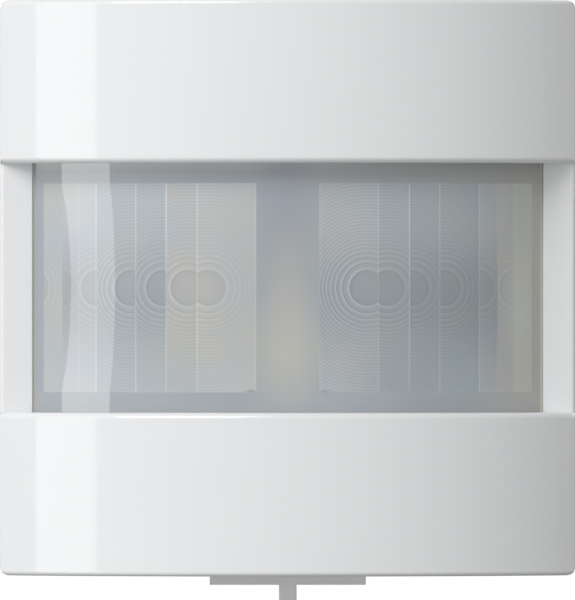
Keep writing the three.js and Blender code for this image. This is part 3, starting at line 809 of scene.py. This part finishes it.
PIN_TAPER = 0.9 * MM
PIN_POINT = 0.55  # how much of its width a tip loses


def build_pins():
    """Eight square contact pins with tapered tips."""
    for number in range(1, 9):
        node = f"contact_pin_{number}"
        pin = rounded(node, f"pin_{number}", PIN_ROUNDING)
        low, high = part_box(node)
        taper_start = high.y - PIN_TAPER
        bm = bmesh.new()
        bm.from_mesh(pin.data)
        bmesh.ops.bisect_plane(bm, geom=bm.verts[:] + bm.edges[:] + bm.faces[:],
                               plane_co=(0, taper_start, 0), plane_no=(0, 1, 0))
        for vertex in bm.verts:
            share = max(0.0, (vertex.co.y - taper_start) / PIN_TAPER)
            for axis in (0, 2):
                middle = (low[axis] + high[axis]) / 2
                vertex.co[axis] += (middle - vertex.co[axis]) * PIN_POINT * share
        bm.to_mesh(pin.data)
        bm.free()
        finish_normals(pin)


# keying ribs of the plug
KEY_PLACES = (-5.7 * MM, 0, 5.7 * MM)
KEY_HALF_WIDTH = 0.6 * MM
KEY_START_Y = 0.1 * MM
KEY_SETBACK = 0.7 * MM
KEY_SUNK = 0.2 * MM
KEY_RISE = 0.35 * MM


def build_plug():
    """The plug block, with keying ribs along its upper side."""
    plug = rounded("plug_block", "plug_moulding", PLUG_ROUNDING, 3)
    finish_normals(plug)
    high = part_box("plug_block")[1]
    skin = Skin()
    for x in KEY_PLACES:
        box_solid(skin, (x - KEY_HALF_WIDTH, KEY_START_Y, high.z - KEY_SUNK),
                  (x + KEY_HALF_WIDTH, high.y - KEY_SETBACK, high.z + KEY_RISE))
    ribs = mesh_object("plug_keys", skin.vertices, skin.faces, FINISHES["plug_black"], False)
    bevel = ribs.modifiers.new("rounding", "BEVEL")
    bevel.width = SMALL_ROUNDING
    bevel.segments = 2
    finish_normals(ribs)
    place(ribs, "head", "plug_black")


# slot stamped in each clip's leg
CLIP_SLOT_Y = (1.0 * MM, 1.7 * MM)
CLIP_SLOT_HALF_HEIGHT = 1.6 * MM


def build_clips():
    """Bent spring clips with a stamped slot in each leg."""
    for side in ("left", "right"):
        clip = rounded(f"retaining_clip_{side}", f"spring_clip_{side}", CLIP_ROUNDING)
        low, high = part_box(f"retaining_clip_{side}")
        skin = Skin()
        box_solid(skin, (low.x - MM, CLIP_SLOT_Y[0], -CLIP_SLOT_HALF_HEIGHT),
                  (high.x + MM, CLIP_SLOT_Y[1], CLIP_SLOT_HALF_HEIGHT))
        cut_out(clip, skin)
        finish_normals(clip)


def build_adjusters():
    """The three rotors and the mode slide."""
    for rotor in ("sensitivity", "brightness", "time"):
        finish_normals(rounded(f"{rotor}_trimmer_rotor", f"{rotor}_dial", SMALL_ROUNDING))
    finish_normals(rounded("mode_slide", "slide_moulding", SMALL_ROUNDING))


def finish_frame():
    """Gives each CAD node that still shows its own finish."""
    for obj in frame["nodes"].values():
        slot = slot_name(obj)
        if slot in FINISHES:
            obj.material_slots[0].material = FINISHES[slot]


# ---- stage ----
VIEW_HEIGHT = 57.11 * MM  # what the picture shows from top to bottom
VIEW_CENTRE = (-0.025 * MM, -1.16 * MM)  # x and z
CAMERA_DISTANCE = 2.4
CAMERA_REACH = 20
FLOOR_Z = -0.05
FLOOR_RADIUS = 1.2  # short of the camera's own view, which stays white behind the object
FLOOR_GLOW = 0.15  # lifts the floor's shade to a pale one
FLOOR_TONES = ((0.82, 0.82, 0.82, 1), (0.86, 0.86, 0.86, 1))

# name: brightness of a glow, azimuth and elevation of its middle in degrees, and how tight it is
SURROUNDINGS = {
    "back": (1.0, 180, 0, 6),
    "front": (0.175, 0, 0, 1),
    "front_right": (0.825, 45, 0, 3),
    "left": (0.462, -90, 0, 2),
    "low_left": (0.2, -50, -45, 3),
    "behind_above": (0.7, 180, 60, 5),
}

# name: power in watts, width and height, azimuth and elevation in degrees, distance
SOFTBOXES = {
    "strip": (1.51, 0.288, 0.9, -67.5, 0, 0.8),
    "key": (9.7, 0.8, 0.8, -35, 38, 1.2),
}


def area_light(name, power, width, height, azimuth, elevation, distance):
    """A softbox that faces the object; azimuth is measured like the views', from the front."""
    data = bpy.data.lights.new(name, "AREA")
    data.energy = power
    data.shape = "RECTANGLE"
    data.size, data.size_y = width, height
    light = bpy.data.objects.new(name, data)
    bpy.context.scene.collection.objects.link(light)
    towards = direction(azimuth, elevation)
    light.location = towards * distance + Vector((0, BAND_APEX_Y, 0))
    light.rotation_euler = towards.to_track_quat("Z", "Y").to_euler()


def direction(azimuth, elevation):
    """Unit vector from the object; azimuth 0 is the front and 90 the right, in degrees."""
    a, e = math.radians(azimuth), math.radians(elevation)
    return Vector((math.sin(a) * math.cos(e), -math.cos(a) * math.cos(e), math.sin(e)))


def world_math(tree, operation, first, second):
    """A math node of the world, fed with numbers or with other nodes' outputs."""
    node = tree.nodes.new("ShaderNodeMath")
    node.operation = operation
    for socket, value in zip(node.inputs, (first, second)):
        if isinstance(value, bpy.types.NodeSocket):
            tree.links.new(value, socket)
        else:
            socket.default_value = value
    return node.outputs[0]


def build_world():
    """Studio surroundings: a few broad glows, each brightest in one direction."""
    world = bpy.data.worlds.new("studio")
    world.use_nodes = True
    tree = world.node_tree
    seen = tree.nodes.new("ShaderNodeTexCoord").outputs["Generated"]
    strength = 0.0
    for level, azimuth, elevation, tightness in SURROUNDINGS.values():
        facing = tree.nodes.new("ShaderNodeVectorMath")
        facing.operation = "DOT_PRODUCT"
        tree.links.new(seen, facing.inputs[0])
        facing.inputs[1].default_value = direction(azimuth, elevation)
        ahead = world_math(tree, "MAXIMUM", facing.outputs["Value"], 0.0)
        glow = world_math(tree, "MULTIPLY", world_math(tree, "POWER", ahead, tightness), level)
        strength = world_math(tree, "ADD", glow, strength)
    background = tree.nodes["Background"]
    tree.links.new(strength, background.inputs["Strength"])
    background.inputs["Color"].default_value = (1, 1, 1, 1)
    bpy.context.scene.world = world


def build_floor():
    """A pale round floor that the object stands over. It takes no part in lighting the object."""
    bpy.ops.mesh.primitive_circle_add(vertices=64, radius=FLOOR_RADIUS, fill_type="NGON",
                                      location=(0, 0, FLOOR_Z))
    floor = bpy.context.object
    floor.name = "floor"
    n = Nodes("floor_pale")
    n.feed(n.shader.inputs["Base Color"], n.mix(n.noise(3, 2), *FLOOR_TONES))
    n.shader.inputs["Roughness"].default_value = 0.7
    n.shader.inputs["Emission Color"].default_value = (1, 1, 1, 1)
    n.shader.inputs["Emission Strength"].default_value = FLOOR_GLOW
    n.material.cycles.emission_sampling = "NONE"
    floor.data.materials.append(n.material)
    floor.visible_diffuse = False
    floor.visible_glossy = False
    floor.visible_shadow = False


def build_stage():
    """The camera, straight in front of the object, with its lights and the floor."""
    scene = bpy.context.scene
    scene.view_settings.view_transform = "Standard"
    build_world()
    data = bpy.data.cameras.new("camera")
    data.lens = data.sensor_width * CAMERA_DISTANCE / VIEW_HEIGHT
    data.clip_end = CAMERA_REACH
    camera = bpy.data.objects.new("camera", data)
    scene.collection.objects.link(camera)
    camera.location = (VIEW_CENTRE[0], BAND_APEX_Y - CAMERA_DISTANCE, VIEW_CENTRE[1])
    camera.rotation_euler = (math.radians(90), 0, 0)
    scene.camera = camera
    for name, settings in SOFTBOXES.items():
        area_light(name, *settings)
    build_floor()


build_stage()
build_cover()
build_lens()
build_housing()
build_adjusters()
build_plug()
build_pins()
build_clips()
finish_frame()
